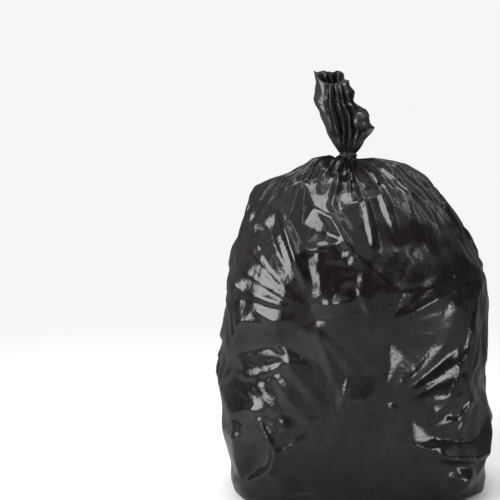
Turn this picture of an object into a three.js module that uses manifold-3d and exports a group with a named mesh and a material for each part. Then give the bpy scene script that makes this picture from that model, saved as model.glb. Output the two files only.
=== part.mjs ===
// A full bin bag standing on its base, tied at the neck with a twist tie.
// Millimetres, +Z up, +Y to the back. The origin is on the floor, under the middle of the bag.
//
// The bag is one closed solid: the film with the rubbish packed in it. Above the tie the film opens
// again into a gathered, hollow mouth. The tie is a second solid that lies in the groove of the neck.

import * as THREE from "three";
import { mergeVertices } from "three/addons/utils/BufferGeometryUtils.js";
import Module from "manifold-3d";

const wasm = await Module();
wasm.setup();

// ---- the bag's driving dimensions ----
const bodyHalfWidth = 324;
const bodyHalfDepth = 268;
const baseHalfWidth = 300; // where the bag stands on the floor
const baseHalfDepth = 214;
const tuckPower = 1.8; // how suddenly the sides turn in to the base
const shoulderZ = 380; // above this the sides turn in to the neck
const tuckZ = 170; // below this they turn in to the base
const domeTopZ = 786;
const domePower = 2.3; // 2 is an ellipse, and more is fuller
const basePower = 3.1; // the same for the outline seen from above, at the base,
const sidePower = 2.35; // at the shoulder line,
const neckPower = 2; // and at the neck
const neckX = -19; // the neck stands a little to the left of the middle

// ---- the neck and the gathered mouth above it ----
const neckZ = 794;
const neckRadius = 20;
const grooveHalfHeight = 4;
const mouthTopZ = 1000;
const mouthX = -54; // the mouth leans to the left
const mouthSpread = 42; // how much wider than the neck it stands at its fullest
const mouthDrawIn = 19; // and how much narrower again at its edge
const mouthDepthShare = 0.86;
const mouthEdgeDip = 14; // the film's edge is this much lower on the right
const mouthWall = 3;
const funnelFloorZ = 858;
const funnelFloorRadius = 9;

// ---- folds ----
const columns = 96; // points round the bag
const neckFolds = 24;
const mouthFolds = 8;
const neckFoldShare = 0.16; // depth of a fold against the radius at the neck
const mouthFoldShare = 0.15;
const domeFoldDepth = 7; // on the shoulders, next to the neck
const domeFoldReach = 190; // how far from the neck the shoulder folds run

// ---- the twist tie ----
const tieClearance = 0.6;
const tieWidth = 4.4;
const tieThickness = 1.1;
const tieTwistLength = 17;
const tieTwistThickness = 2.2; // both ends side by side
const tieTwistTurns = 1.75;
const tieEndLength = 9;
const tieEndWidth = 3.8;
const tieEndTurns = 0.12;
const tieSegments = 64;

const turn = 2 * Math.PI;
const smooth = (low, high, x) => THREE.MathUtils.smoothstep(x, low, high);
const mix = THREE.MathUtils.lerp;

// A closed curve between an ellipse (power 2) and a rectangle (a high power).
function ovalPoint(angle, halfWidth, halfDepth, power) {
  const c = Math.cos(angle);
  const s = Math.sin(angle);
  const x = halfWidth * Math.sign(c) * Math.abs(c) ** (2 / power);
  const y = halfDepth * Math.sign(s) * Math.abs(s) ** (2 / power);
  return new THREE.Vector2(x, y);
}

// Every ring has one point for each column, counted anticlockwise from above.
function ring(pointAt) {
  return Array.from({ length: columns }, (_, i) => pointAt((i / columns) * turn));
}

// ---- the body: base, sides and shoulders ----
function bodyRing(z) {
  let halfWidth = bodyHalfWidth;
  let halfDepth = bodyHalfDepth;
  if (z < tuckZ) {
    const tuck = ((tuckZ - z) / tuckZ) ** tuckPower;
    halfWidth = mix(bodyHalfWidth, baseHalfWidth, tuck);
    halfDepth = mix(bodyHalfDepth, baseHalfDepth, tuck);
  }
  const power = mix(basePower, sidePower, smooth(0, shoulderZ, z));
  return ring((angle) => {
    const p = ovalPoint(angle, halfWidth, halfDepth, power);
    return new THREE.Vector3(p.x, p.y, z);
  });
}

// climb runs from 0 at the shoulder line to 1 at the top of the dome.
function domeRing(climb) {
  const angleUp = (climb * Math.PI) / 2;
  const spread = Math.cos(angleUp) ** (2 / domePower);
  const rise = Math.sin(angleUp) ** (2 / domePower);
  const z = mix(shoulderZ, domeTopZ, rise);
  const power = mix(sidePower, neckPower, climb);
  const toNeck = 1 - spread;
  return ring((angle) => {
    const p = ovalPoint(angle, bodyHalfWidth * spread, bodyHalfDepth * spread, power);
    const x = p.x + neckX * toNeck ** 2;
    const fromNeck = Math.hypot(x - neckX, p.y);
    const fade = smooth(domeFoldReach, neckRadius * 2, fromNeck);
    const fold = domeFoldDepth * fade * Math.cos(neckFolds * angle);
    return new THREE.Vector3(x, p.y, z + fold);
  });
}

// ---- the neck's groove and the mouth above it ----
function foldedRing(x, z, radius, neckShare, mouthShare, depthShare = 1) {
  return ring((angle) => {
    const small = 1 - neckShare * (0.5 - 0.5 * Math.cos(neckFolds * angle));
    const large = 1 + mouthShare * Math.cos(mouthFolds * angle + 0.6);
    const r = radius * small * large;
    return new THREE.Vector3(x + r * Math.cos(angle), r * depthShare * Math.sin(angle), z);
  });
}

// How wide the mouth stands at a share of its height: it spreads fast, then draws in a little.
function mouthRadius(share) {
  return neckRadius + mouthSpread * smooth(0, 0.34, share) - mouthDrawIn * smooth(0.42, 1, share);
}

function mouthRing(share, wall) {
  const z = mix(neckZ + grooveHalfHeight, mouthTopZ, share);
  const x = mix(neckX, mouthX, share ** 1.4);
  const neckShare = neckFoldShare * (1 - smooth(0, 0.5, share));
  const mouthShare = mouthFoldShare * smooth(0.05, 0.4, share);
  return foldedRing(x, z, mouthRadius(share) - wall, neckShare, mouthShare, mouthDepthShare);
}

// The film's edge is uneven: it dips towards the right-hand side.
function uneven(points, depth) {
  return points.map((p, i) => {
    const angle = (i / columns) * turn;
    return p.clone().setZ(p.z - depth * (0.5 + 0.5 * Math.cos(angle - 0.5)));
  });
}

// Joins rings of the same count into one closed skin, with a fan of triangles at each end.
function loft(rings) {
  const count = rings[0].length;
  const points = rings.flat();
  const faces = [];
  for (let k = 0; k + 1 < rings.length; k++) {
    for (let i = 0; i < count; i++) {
      const a = k * count + i;
      const b = k * count + ((i + 1) % count);
      faces.push(a, b, b + count, a, b + count, a + count);
    }
  }
  for (const [k, flip] of [[0, true], [rings.length - 1, false]]) {
    const middle = new THREE.Vector3();
    rings[k].forEach((p) => middle.addScaledVector(p, 1 / count));
    points.push(middle);
    for (let i = 0; i < count; i++) {
      const a = k * count + i;
      const b = k * count + ((i + 1) % count);
      faces.push(points.length - 1, ...(flip ? [b, a] : [a, b]));
    }
  }
  const geometry = new THREE.BufferGeometry().setFromPoints(points);
  geometry.setIndex(faces);
  return geometry;
}

function bagGeometry() {
  const base = [0, 6, 22, 50, 90, 135, 190, 250, 315].map(bodyRing);
  const climbs = [0, 0.12, 0.24, 0.36, 0.47, 0.57, 0.66, 0.74, 0.81, 0.87, 0.92, 0.957];
  const dome = climbs.map(domeRing);
  const groove = [-grooveHalfHeight, 0, grooveHalfHeight].map((dz) =>
    foldedRing(neckX, neckZ + dz, neckRadius, neckFoldShare, 0),
  );
  const outside = [0.08, 0.18, 0.3, 0.42, 0.55, 0.68, 0.82, 0.93].map((s) => mouthRing(s, 0));
  const edge = [0, mouthWall].map((wall) => uneven(mouthRing(1, wall), mouthEdgeDip));
  const inside = [0.86, 0.66, 0.46].map((s) => mouthRing(s, mouthWall));
  const floor = foldedRing(mix(neckX, mouthX, 0.15), funnelFloorZ, funnelFloorRadius, 0, 0);
  return loft([...base, ...dome, ...groove, ...outside, ...edge, ...inside, floor]);
}

// ---- the twist tie: a flat strip round the neck, with its ends twisted together at the back ----
function solidOf(geometry) {
  const bare = new THREE.BufferGeometry();
  bare.setAttribute("position", geometry.getAttribute("position"));
  bare.setIndex(geometry.index);
  const merged = mergeVertices(bare, 1e-4);
  return new wasm.Manifold(
    new wasm.Mesh({
      numProp: 3,
      vertProperties: merged.attributes.position.array,
      triVerts: new Uint32Array(merged.index.array),
    }),
  );
}

function geometryOf(solid) {
  const mesh = solid.getMesh();
  const geometry = new THREE.BufferGeometry();
  geometry.setAttribute("position", new THREE.BufferAttribute(mesh.vertProperties, mesh.numProp));
  geometry.setIndex(new THREE.BufferAttribute(mesh.triVerts, 1));
  return geometry;
}

const tieInner = neckRadius + tieClearance;
const tieOuter = tieInner + tieThickness;

function tieLoop() {
  const half = tieWidth / 2;
  const profile = [
    [tieInner, -half],
    [tieOuter, -half],
    [tieOuter, half],
    [tieInner, half],
    [tieInner, -half],
  ].map(([r, z]) => new THREE.Vector2(r, z));
  return new THREE.LatheGeometry(profile, tieSegments).rotateX(Math.PI / 2);
}

// A flat bar that turns about its own length, from the start along the direction.
function twistedBar(start, direction, length, width, thickness, turns, steps) {
  const along = direction.clone().normalize();
  const side = new THREE.Vector3(0, 0, 1).cross(along).normalize();
  const up = along.clone().cross(side);
  const corners = [
    [1, -1],
    [1, 1],
    [-1, 1],
    [-1, -1],
  ];
  const rings = Array.from({ length: steps + 1 }, (_, k) => {
    const middle = start.clone().addScaledVector(along, (length * k) / steps);
    const angle = (turn * turns * k) / steps;
    return corners.map(([u, v]) => {
      const a = (u * thickness) / 2;
      const b = (v * width) / 2;
      return middle
        .clone()
        .addScaledVector(side, a * Math.cos(angle) - b * Math.sin(angle))
        .addScaledVector(up, a * Math.sin(angle) + b * Math.cos(angle));
    });
  });
  return loft(rings);
}

function tieGeometry() {
  const back = new THREE.Vector3(0, tieOuter - tieThickness / 2, 0);
  const rise = new THREE.Vector3(0, 1, 0.12);
  const tail = twistedBar(back, rise, tieTwistLength, tieWidth, tieTwistThickness, tieTwistTurns, 28);
  const tip = back.clone().addScaledVector(rise.clone().normalize(), tieTwistLength - 1);
  const ends = [-1, 1].map((side) => {
    const outward = new THREE.Vector3(0.75 * side, 1, 0.18 * side);
    return twistedBar(tip, outward, tieEndLength, tieEndWidth, tieThickness, tieEndTurns, 4);
  });
  let solid = solidOf(tieLoop()).add(solidOf(tail));
  for (const end of ends) solid = solid.add(solidOf(end));
  return geometryOf(solid);
}

function named(name, geometry, material) {
  const mesh = new THREE.Mesh(geometry, material);
  mesh.name = name;
  return mesh;
}

const film = new THREE.MeshStandardMaterial({ color: 0x1d1b1a, roughness: 0.24, metalness: 0 });
const tiePlastic = new THREE.MeshStandardMaterial({ color: 0x141313, roughness: 0.45, metalness: 0 });

const binBag = new THREE.Group();
binBag.add(named("bag", bagGeometry(), film));
const tie = named("neck_tie", tieGeometry(), tiePlastic);
tie.position.set(neckX, 0, neckZ);
binBag.add(tie);

export default binBag;
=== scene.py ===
import bmesh
import bpy
import math
import numpy as np
from mathutils import Matrix, Vector
from mathutils.geometry import delaunay_2d_cdt


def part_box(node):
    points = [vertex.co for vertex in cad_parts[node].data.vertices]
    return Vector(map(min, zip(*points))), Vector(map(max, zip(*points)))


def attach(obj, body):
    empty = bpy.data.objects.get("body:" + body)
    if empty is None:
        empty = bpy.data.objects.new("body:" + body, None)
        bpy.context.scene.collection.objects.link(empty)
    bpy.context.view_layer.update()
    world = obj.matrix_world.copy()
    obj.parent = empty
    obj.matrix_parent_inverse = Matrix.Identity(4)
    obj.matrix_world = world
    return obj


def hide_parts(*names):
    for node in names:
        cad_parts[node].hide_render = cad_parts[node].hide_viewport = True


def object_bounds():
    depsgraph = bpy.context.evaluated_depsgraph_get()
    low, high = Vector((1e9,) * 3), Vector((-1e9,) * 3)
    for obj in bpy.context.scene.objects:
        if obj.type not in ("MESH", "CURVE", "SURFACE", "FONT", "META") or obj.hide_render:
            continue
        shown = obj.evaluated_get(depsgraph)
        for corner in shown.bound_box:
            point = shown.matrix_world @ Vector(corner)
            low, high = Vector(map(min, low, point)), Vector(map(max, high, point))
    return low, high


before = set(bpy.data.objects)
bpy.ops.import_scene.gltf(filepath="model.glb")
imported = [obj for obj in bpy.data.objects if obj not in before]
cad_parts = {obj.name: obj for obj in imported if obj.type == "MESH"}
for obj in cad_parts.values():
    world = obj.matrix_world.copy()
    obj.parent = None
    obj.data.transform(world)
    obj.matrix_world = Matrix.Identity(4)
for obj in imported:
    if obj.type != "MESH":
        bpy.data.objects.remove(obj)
cadLow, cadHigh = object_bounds()
tieLow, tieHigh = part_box("neck_tie")
print("frame loaded")

# where things are, from the frame
halfWidth = (cadHigh.x - cadLow.x) / 2
halfDepth = (cadHigh.y - cadLow.y) / 2
topZ = cadHigh.z
neckX = (tieLow.x + tieHigh.x) / 2
neckZ = (tieLow.z + tieHigh.z) / 2


def smooth(low, high, x):
    # from 0 at low to 1 at high, without a corner at either end
    t = np.clip((x - low) / (high - low), 0, 1)
    return t * t * (3 - 2 * t)


def unit(v):
    return v / (np.linalg.norm(v, axis=-1, keepdims=True) + 1e-12)


def softNoise(rows, cols, cellsUp, cellsRound, seed):
    # soft random hills from -1 to 1 that join up round the bag
    rng = np.random.default_rng(seed)
    grid = rng.uniform(-1, 1, (cellsUp + 2, cellsRound))
    up = np.linspace(0, cellsUp, rows)
    around = roundShare * cellsRound
    j = up.astype(int)
    i = np.floor(around).astype(int) % cellsRound
    fj = smooth(0, 1, up - j)[:, None]
    fi = smooth(0, 1, around - np.floor(around))[None, :]
    i1 = (i + 1) % cellsRound
    low = grid[j][:, i] * (1 - fi) + grid[j][:, i1] * fi
    high = grid[j + 1][:, i] * (1 - fi) + grid[j + 1][:, i1] * fi
    return low * (1 - fj) + high * fj


# the bag's plain shape: an oval sack, flat below and domed above
bagShape = {
    "baseWide": 0.945,  # share of the width and depth that stands on the floor
    "baseDeep": 0.78,
    "baseRound": 0.020,  # radius of the turn from the base up into the sides
    "tuckZ": 0.170,  # below this the sides turn in to the base
    "shoulderZ": 0.380,  # above this they turn in to the neck
    "domeHeight": 0.404,
    "domePower": 2.3,
    "ovalPower": (3.0, 2.35),  # at the base and above, where 2 is an ellipse and more is squarer
    "neckRounder": 0.35,  # how much less it is beside the neck
    "neckRadius": 0.0205,
    "baseRows": 20,
    "sideRows": 198,
    "columns": 352,
    "frontShare": 0.35,  # how much closer the columns stand at the front than at the back
    "mouthRows": 44,
}


def plainProfile():
    # the side of the bag from the base's centre to the neck: share of the width and of the depth, and height
    s = bagShape
    steps = 400
    t = np.linspace(0, 1, steps)
    tuck = (1 - t) ** 2
    sideZ = s["baseRound"] + t * (s["tuckZ"] - s["baseRound"])
    flat = np.linspace(0.04, 0.95, steps)
    wide = [flat * s["baseWide"]]
    deep = [flat * s["baseDeep"]]
    high = [np.zeros(steps)]
    bend = t * math.pi / 2
    for part, base in ((wide, s["baseWide"]), (deep, s["baseDeep"])):
        part.append(base * (0.95 + 0.05 * np.sin(bend)))
        part.append(1 - (1 - base) * tuck)
        part.append(np.ones(steps))
    high += [s["baseRound"] * (1 - np.cos(bend)), sideZ, s["tuckZ"] + t * (s["shoulderZ"] - s["tuckZ"])]
    up = np.linspace(0, math.pi / 2, 6 * steps)
    spread = np.cos(up) ** (2 / s["domePower"])
    rise = np.sin(up) ** (2 / s["domePower"])
    keep = spread * (halfWidth + halfDepth) / 2 > s["neckRadius"] * 1.12
    for part in (wide, deep):
        part.append(spread[keep])
    high.append(s["shoulderZ"] + s["domeHeight"] * rise[keep])
    wide, deep, high = [np.concatenate(v) for v in (wide, deep, high)]
    across = (wide * halfWidth + deep * halfDepth) / 2
    along = np.concatenate([[0], np.cumsum(np.hypot(np.diff(across), np.diff(high)))])
    rim = 0.9 * s["baseWide"] * halfWidth
    low = np.linspace(0, rim, s["baseRows"], endpoint=False)
    at = np.concatenate([low, np.linspace(rim, along[-1], s["sideRows"])])
    return [np.interp(at, along, v) for v in (wide, deep, high)] + [at, along[-1]]


def columnShares():
    # how far round the bag each column stands, from 0 to 1
    t = np.arange(bagShape["columns"]) / bagShape["columns"]
    return t + bagShape["frontShare"] * (np.sin(2 * math.pi * (t - 0.25)) + 1) / (2 * math.pi)


def plainBag():
    s = bagShape
    wide, deep, high, along, length = plainProfile()
    angle = roundShare * 2 * math.pi
    z, turned = np.meshgrid(high, angle, indexing="ij")
    p = s["ovalPower"][0] + (s["ovalPower"][1] - s["ovalPower"][0]) * smooth(0, s["shoulderZ"], z)
    p = p - s["neckRounder"] * smooth(0.2, 0.05, wide[:, None]) * (z > 0.4)
    c, d = np.abs(np.cos(turned)), np.abs(np.sin(turned))
    reach = ((c / halfWidth) ** p + (d / halfDepth) ** p) ** (-1 / p)
    x = reach * np.cos(turned) * wide[:, None] + neckX * smooth(0.5, neckZ - 0.01, z)
    y = reach * np.sin(turned) * deep[:, None]
    return np.stack([x, y, z], -1), length - along


def gridNormals(p):
    du = np.roll(p, -1, 1) - np.roll(p, 1, 1)
    dv = np.gradient(p, axis=0)
    return unit(np.cross(du, dv))


roundShare = columnShares()
plain, fromNeck = plainBag()
plainNormal = gridNormals(plain)
rows, cols = plain.shape[:2]
print("plain shape", rows, "rows of", cols)


def placeOn(x, z):
    # the row and column of the front's surface at a place across and up, in metres
    far = (plain[..., 0] - x) ** 2 + (plain[..., 2] - z) ** 2 + np.where(plain[..., 1] < 0, 0, 9)
    return np.unravel_index(far.argmin(), far.shape)


def placeRound(angle, z):
    # the same from an angle round the bag, where 0 is the right-hand side and 90 the back
    off = np.abs((roundShare * 360 - angle + 180) % 360 - 180)
    i = off.argmin()
    return np.abs(plain[:, i, 2] - z + 9 * (plain[:, i, 2] < 0.01)).argmin(), i


def localPlane(where):
    # for each point, how far right and up of a place it is, and how far the surface faces the same way
    origin = plain[where]
    out = plainNormal[where]
    right = unit(np.cross([0, 0, 1.0], out))
    up = np.cross(out, right)
    d = plain - origin
    return d @ right, d @ up, plainNormal @ out


def wrapAngle(a):
    return (a + math.pi) % (2 * math.pi) - math.pi


def fan(where, toward, spread, reach, creases, height, dent, seed):
    # creases that run together at one pinched place
    rng = np.random.default_rng(seed)
    a, b, facing = localPlane(where)
    r = np.hypot(a, b)
    angle = wrapAngle(np.arctan2(b, a) - math.radians(toward)) / math.radians(spread)
    knots = np.sort(rng.uniform(-1, 1, creases * 2 + 1))
    near = rng.uniform(0.3, 1, len(knots)) * np.where(np.arange(len(knots)) % 2, 1, -1)
    far = near * rng.uniform(-0.2, 1.2, len(knots))
    share = smooth(0.25, 0.8, r / reach)
    wave = np.interp(angle, knots, near) * (1 - share) + np.interp(angle, knots, far) * share
    window = smooth(1.0, 0.75, np.abs(angle)) * (facing > 0.2)
    envelope = smooth(0, 0.35, r / reach) * smooth(1.0, 0.6, r / reach)
    pinch = np.exp(-r / (reach * 0.22)) * (facing > 0.2)
    return height * wave * window * envelope - dent * pinch


def crease(points, height, width, wider):
    # a narrow ridge along a line of places, whose one side may be wider than the other
    places = [plain[placeOn(x, z)] for x, z in points]
    out = plainNormal[placeOn(*points[len(points) // 2])]
    best = np.full(plain.shape[:2], 9.0)
    side, share = np.zeros(best.shape), np.zeros(best.shape)
    total = sum(np.linalg.norm(q - p) for p, q in zip(places, places[1:]))
    done = 0
    for p, q in zip(places, places[1:]):
        step = q - p
        long = np.linalg.norm(step)
        t = np.clip(((plain - p) @ step) / long ** 2, 0, 1)
        away = plain - (p + t[..., None] * step)
        d = np.linalg.norm(away, axis=-1)
        near = d < best
        side = np.where(near, away @ np.cross(out, step), side)
        share = np.where(near, (done + t * long) / total, share)
        best = np.where(near, d, best)
        done += long
    wide = np.where(side > 0, width * wider, width)
    ends = smooth(0, 0.25, share) * smooth(1, 0.75, share)
    return height * np.maximum(0, 1 - best / wide) * ends * (plainNormal @ out > 0.1)


filmRelief = {
    "facetSize": 0.098,
    "facetDepth": 0.011,
    "facetSeed": 5,
    "foldRise": 1.2,  # how much deeper all folds are made than their heights say
    "foldsApart": 0.055,  # the scattered folds keep this far from the set ones
    "flatness": 0.75,  # how flat the film lies between its folds
    "pullSeed": 41,  # which way the film is pulled, from place to place
    # size and depth of the crumples, how much longer they are than wide, and how far they slant
    "crumples": [
        (0.060, 0.0030, 1, 0),
        (0.030, 0.0013, 1, 0),
        (0.046, 0.0055, 3.0, 0),
        (0.022, 0.0026, 4.5, 0),
        (0.052, 0.0065, 2.6, 0.8),
        (0.052, 0.0065, 2.6, -0.8),
        (0.024, 0.0018, 3.0, 0.7),
        (0.024, 0.0018, 3.0, -0.7),
    ],
    "crumpleSeed": 30,
    "crumpleNeck": 0.16,  # deepest crumple near the neck, as a share of the way to it
    "edgePasses": 1,  # how often all folds are smoothed, and how often the calm places
    "calmPasses": 14,
}


# folds across the front: lines of (x, z, height), where a height below 0 is a hollow
frontFolds = [
    # left shoulder: long ridges that run down to the pinched place
    [(-0.179, 0.684, 0.004), (-0.158, 0.639, 0.009), (-0.133, 0.577, 0.008), (-0.097, 0.482, 0.000)],
    [(-0.190, 0.612, -0.002), (-0.150, 0.540, 0.001), (-0.102, 0.474, -0.002)],
    [(-0.244, 0.620, -0.002), (-0.216, 0.570, 0.002), (-0.154, 0.513, 0.004), (-0.104, 0.466, 0.000)],
    [(-0.250, 0.430, 0.010), (-0.178, 0.418, 0.013), (-0.122, 0.428, 0.003)],
    # the narrow three-cornered face above it
    [(-0.079, 0.592, 0.004), (-0.077, 0.530, 0.0065), (-0.084, 0.490, 0.004), (-0.098, 0.457, -0.002)],
    [(-0.079, 0.592, 0.004), (-0.115, 0.566, 0.000), (-0.109, 0.515, 0.000), (-0.098, 0.457, -0.002)],
    # a raised fold beside the neck
    [(-0.150, 0.735, 0.006), (-0.088, 0.764, 0.012), (-0.055, 0.778, 0.006)],
    [(-0.110, 0.742, -0.004), (-0.060, 0.762, -0.006)],
    # the ragged folds in the middle of the shoulder
    [(-0.113, 0.733, 0.004), (-0.089, 0.682, 0.009), (-0.053, 0.658, 0.011), (-0.027, 0.615, 0.008),
     (-0.004, 0.589, 0.004), (-0.032, 0.574, -0.003), (-0.066, 0.600, 0.003), (-0.113, 0.593, 0.005)],
    [(-0.089, 0.682, 0.009), (-0.118, 0.652, -0.007), (-0.113, 0.593, 0.005)],
    [(-0.060, 0.628, -0.006), (-0.066, 0.600, 0.003)],
    # upper ledge: a fold with a hollow under it
    [(-0.073, 0.477, 0.000), (-0.007, 0.486, 0.000), (0.007, 0.510, 0.002), (0.000, 0.550, 0.001)],
    [(-0.098, 0.457, -0.002), (-0.030, 0.449, 0.005), (0.031, 0.446, 0.003)],
    [(0.007, 0.510, 0.003), (0.031, 0.446, 0.003)],
    [(-0.042, 0.562, 0.002), (-0.036, 0.515, 0.001)],
    # the edge where the dark shoulder turns into the fuller front
    [(0.031, 0.446, 0.003), (0.101, 0.500, 0.003), (0.162, 0.517, 0.002), (0.229, 0.490, 0.001),
     (0.268, 0.470, -0.002)],
    [(0.090, 0.600, -0.006), (0.180, 0.620, -0.003)],
    # lower ledge
    [(-0.009, 0.268, 0.000), (0.050, 0.267, 0.000), (0.078, 0.274, 0.004)],
    [(-0.014, 0.310, 0.003), (-0.038, 0.238, 0.003), (0.020, 0.236, 0.006), (0.076, 0.250, 0.002)],
    # the three-cornered face above the lower pinched place
    [(0.070, 0.402, 0.002), (0.066, 0.303, 0.012), (0.078, 0.274, 0.004)],
    [(0.070, 0.402, 0.002), (0.107, 0.365, -0.001), (0.078, 0.274, 0.004)],
    # the right-hand face that spreads from it
    [(0.079, 0.262, -0.002), (0.150, 0.315, -0.003), (0.228, 0.369, -0.004)],
    [(0.079, 0.262, -0.002), (0.140, 0.262, 0.005), (0.198, 0.266, 0.010), (0.230, 0.318, 0.003),
     (0.228, 0.369, -0.004)],
    [(0.120, 0.222, 0.000), (0.190, 0.222, 0.002)],
    [(0.260, 0.370, -0.002), (0.262, 0.300, -0.004)],
    [(0.209, 0.410, -0.001), (0.235, 0.450, 0.001), (0.262, 0.403, -0.001)],
    [(0.262, 0.251, 0.003), (0.225, 0.213, -0.003), (0.240, 0.165, 0.002)],
    # lower left
    [(-0.245, 0.396, -0.002), (-0.165, 0.385, -0.003), (-0.097, 0.346, -0.003)],
    [(-0.097, 0.346, -0.003), (-0.148, 0.345, 0.003), (-0.189, 0.326, -0.003), (-0.144, 0.271, 0.003)],
    [(-0.290, 0.312, 0.001), (-0.240, 0.305, -0.002), (-0.189, 0.326, -0.003)],
    [(-0.268, 0.225, 0.002), (-0.205, 0.252, 0.004), (-0.151, 0.236, 0.003), (-0.117, 0.193, 0.000)],
    [(-0.282, 0.352, 0.007), (-0.238, 0.360, -0.007)],
    # the folded pocket at the bottom left
    [(-0.278, 0.205, 0.002), (-0.232, 0.236, 0.013), (-0.176, 0.141, 0.013), (-0.191, 0.098, 0.008),
     (-0.262, 0.042, 0.004)],
    [(-0.272, 0.156, 0.006), (-0.240, 0.192, -0.006), (-0.212, 0.150, -0.014), (-0.226, 0.095, -0.014)],
    # the shiny rolled fold at the bottom right, and the corner under it
    [(0.077, 0.169, 0.001), (0.130, 0.159, 0.005), (0.184, 0.136, 0.010), (0.215, 0.131, 0.016),
     (0.262, 0.120, 0.016), (0.290, 0.119, 0.012)],
    [(0.190, 0.107, -0.008), (0.225, 0.098, -0.010), (0.275, 0.088, -0.008)],
    [(0.180, 0.175, -0.003), (0.230, 0.160, -0.007), (0.275, 0.150, -0.003)],
    [(0.215, 0.025, 0.004), (0.256, 0.064, 0.008), (0.285, 0.060, 0.000)],
    [(0.211, 0.210, 0.002), (0.234, 0.187, 0.003)],
    # the smooth middle
    [(-0.050, 0.385, 0.003), (0.010, 0.350, 0.002), (0.030, 0.170, 0.003)],
    [(0.060, 0.440, 0.002), (0.130, 0.440, 0.001)],
    [(-0.090, 0.150, 0.001), (0.000, 0.110, 0.000), (0.090, 0.105, 0.000)],
    [(-0.080, 0.050, -0.002), (0.020, 0.045, -0.002), (0.110, 0.045, -0.002)],
]

# narrow ridges that catch the light: points, height, width, how many times wider one side is
crestLines = [
    ([(0.002, 0.520), (0.012, 0.495), (0.030, 0.450)], 0.0035, 0.010, 1),
    ([(-0.012, 0.325), (-0.022, 0.285), (-0.040, 0.238)], 0.0035, 0.010, 1),
    ([(-0.095, 0.690), (-0.053, 0.658), (-0.027, 0.615), (-0.004, 0.585)], 0.0040, 0.011, 1),
    ([(0.000, 0.592), (-0.032, 0.574), (-0.066, 0.600), (-0.118, 0.593)], 0.0045, 0.011, 1),
    ([(-0.182, 0.690), (-0.158, 0.639), (-0.133, 0.577), (-0.100, 0.490)], 0.0050, 0.012, 1.6),
    ([(-0.168, 0.672), (-0.128, 0.582), (-0.112, 0.540)], 0.0035, 0.010, 1),
    ([(-0.244, 0.630), (-0.190, 0.560), (-0.130, 0.495)], 0.0045, 0.012, 1.6),
    ([(-0.228, 0.560), (-0.175, 0.505), (-0.115, 0.468)], 0.0035, 0.011, 1.4),
    ([(-0.235, 0.470), (-0.185, 0.440), (-0.125, 0.440)], 0.0035, 0.011, 1),
    ([(0.060, 0.705), (0.085, 0.640), (0.096, 0.600)], 0.0040, 0.010, 1),
    ([(0.150, 0.665), (0.165, 0.620), (0.172, 0.585)], 0.0035, 0.009, 1),
    ([(0.010, 0.690), (0.030, 0.640), (0.040, 0.590)], 0.0040, 0.010, 1),
    ([(0.084, 0.272), (0.150, 0.330), (0.215, 0.395)], 0.0030, 0.011, 1.5),
    ([(0.088, 0.264), (0.160, 0.300), (0.240, 0.345)], 0.0030, 0.011, 1.5),
    ([(-0.300, 0.315), (-0.250, 0.300), (-0.190, 0.325), (-0.140, 0.345)], 0.0022, 0.011, 1),
    ([(-0.097, 0.346), (-0.148, 0.345), (-0.189, 0.326), (-0.140, 0.265)], 0.0022, 0.010, 1),
    ([(-0.240, 0.245), (-0.205, 0.190), (-0.176, 0.141), (-0.191, 0.098), (-0.265, 0.040)],
     0.0085, 0.012, 0.8),
    ([(-0.232, 0.190), (-0.214, 0.150), (-0.222, 0.100), (-0.245, 0.070)], 0.0060, 0.010, 1),
    ([(-0.262, 0.180), (-0.240, 0.200), (-0.226, 0.176), (-0.206, 0.170)], 0.0045, 0.009, 1),
    ([(0.170, 0.140), (0.215, 0.131), (0.262, 0.120), (0.305, 0.119)], 0.0080, 0.015, 1),
    ([(0.235, 0.245), (0.205, 0.205), (0.150, 0.190)], 0.0045, 0.012, 1),
    ([(0.280, 0.260), (0.235, 0.215), (0.165, 0.165)], 0.0045, 0.011, 1),
    ([(0.195, 0.080), (0.240, 0.062), (0.270, 0.020)], 0.0045, 0.012, 1),
    ([(0.110, 0.165), (0.160, 0.150), (0.200, 0.160)], 0.0035, 0.011, 1),
    ([(-0.285, 0.600), (-0.262, 0.500), (-0.250, 0.430)], 0.0045, 0.012, 1),
    ([(-0.300, 0.500), (-0.285, 0.420), (-0.262, 0.360)], 0.0045, 0.012, 1),
    ([(-0.285, 0.430), (-0.240, 0.410), (-0.190, 0.400), (-0.150, 0.415)], 0.0040, 0.012, 1),
    ([(0.285, 0.500), (0.270, 0.420), (0.280, 0.340)], 0.0045, 0.012, 1),
    ([(0.300, 0.400), (0.285, 0.330), (0.262, 0.280)], 0.0045, 0.012, 1),
    ([(0.245, 0.470), (0.262, 0.400), (0.245, 0.330)], 0.0035, 0.011, 1),
    ([(-0.200, 0.330), (-0.150, 0.260), (-0.080, 0.190)], 0.0030, 0.014, 1.5),
    ([(-0.170, 0.370), (-0.110, 0.290), (-0.055, 0.235)], 0.0030, 0.014, 1.5),
    ([(-0.210, 0.270), (-0.160, 0.205), (-0.110, 0.150)], 0.0030, 0.014, 1.5),
    ([(-0.090, 0.430), (-0.060, 0.350), (-0.040, 0.270)], 0.0025, 0.014, 1.5),
    ([(0.060, 0.425), (0.120, 0.455), (0.200, 0.500)], 0.0025, 0.012, 1.5),
]

# shelves that hang over a hollow: x, z, half length, tilt, bow, height, how far it reaches above and below
shelves = [
    (-0.036, 0.478, 0.062, 0.19, 0.006, 0.014, 0.050, 0.022),
    (0.018, 0.264, 0.060, 0.02, 0.010, 0.014, 0.060, 0.022),
    (0.135, 0.508, 0.130, 0.05, -0.030, 0.012, 0.100, 0.125),
]


def shelf(x, z, half, tilt, bow, height, above, below):
    # rises slowly from above and drops away under its edge
    a, b, facing = localPlane(placeOn(x, z))
    share = np.abs(a) / half
    off = b - tilt * a - bow * share ** 2
    side = np.where(off > 0, np.maximum(0, 1 - off / above) ** 1.5, np.maximum(0, 1 + off / below))
    return height * np.maximum(0, 1 - share ** 1.5) * side * (facing > 0.3)


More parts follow.
